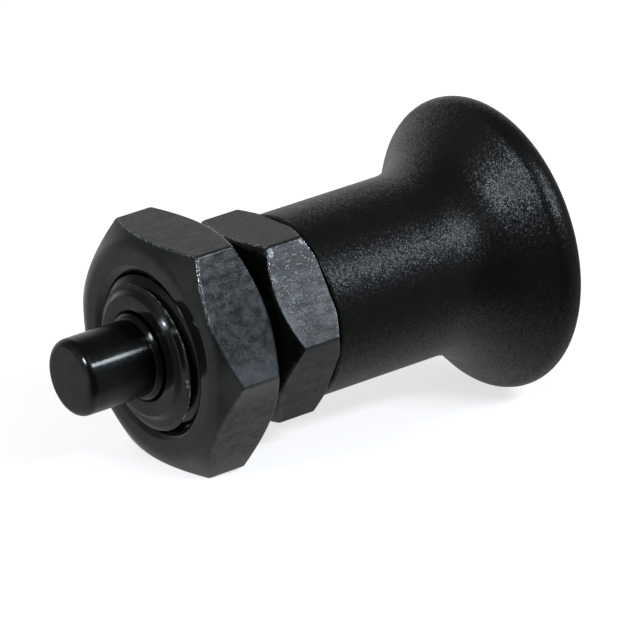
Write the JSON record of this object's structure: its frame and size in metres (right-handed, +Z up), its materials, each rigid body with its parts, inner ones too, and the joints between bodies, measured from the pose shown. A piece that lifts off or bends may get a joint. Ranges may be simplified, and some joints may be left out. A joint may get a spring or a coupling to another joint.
{
  "type": "indexing plunger",
  "caption": "Spring-loaded index pin in a threaded guide body with a hex collar and lock nut, drawn back by a flared plastic pull knob.",
  "frame": {"origin": "centre of the hex collar's front face, on the plunger's axis", "axes": "+X along the plunger's axis from the pin towards the knob, +Z up with one flat of the lock nut straight down at -Z, +Y to complete a right-handed set"},
  "size_m": [0.0549, 0.031, 0.031],
  "materials": {
    "body_steel": "black oxide on machined steel, satin",
    "nut_steel": "black oxide on pressed steel, satin with light wear on the edges",
    "pin_steel": "black oxide on hardened and ground steel, semi-gloss",
    "spring_steel": "bright drawn wire",
    "knob_plastic": "fine spark-eroded grain, black",
    "insert_brass": "turned"
  },
  "bodies": {
    "housing": {"guide_body": "body_steel", "rear_bush": "body_steel"},
    "nut": {"lock_nut": "nut_steel"},
    "spring": {"compression_spring": "spring_steel"},
    "plunger": {"plunger_pin": "pin_steel", "knob": "knob_plastic", "knob_insert": "insert_brass"}
  },
  "joints": [
    {"name": "nut_turn", "type": "hinge", "parent": "housing", "child": "nut", "pos_m": [-0.0061, 0, 0], "axis": [-1, 0, 0], "continuous": true},
    {"name": "plunger_turn", "type": "hinge", "parent": "housing", "child": "spring", "pos_m": [0, 0, 0], "axis": [-1, 0, 0], "continuous": true},
    {"name": "plunger_pull", "type": "slide", "parent": "spring", "child": "plunger", "axis": [1, 0, 0], "range_m": [0, 0.0084], "stiffness_N_per_m": 3000, "springref_m": -0.005, "deforming": ["compression_spring"]}
  ]
}
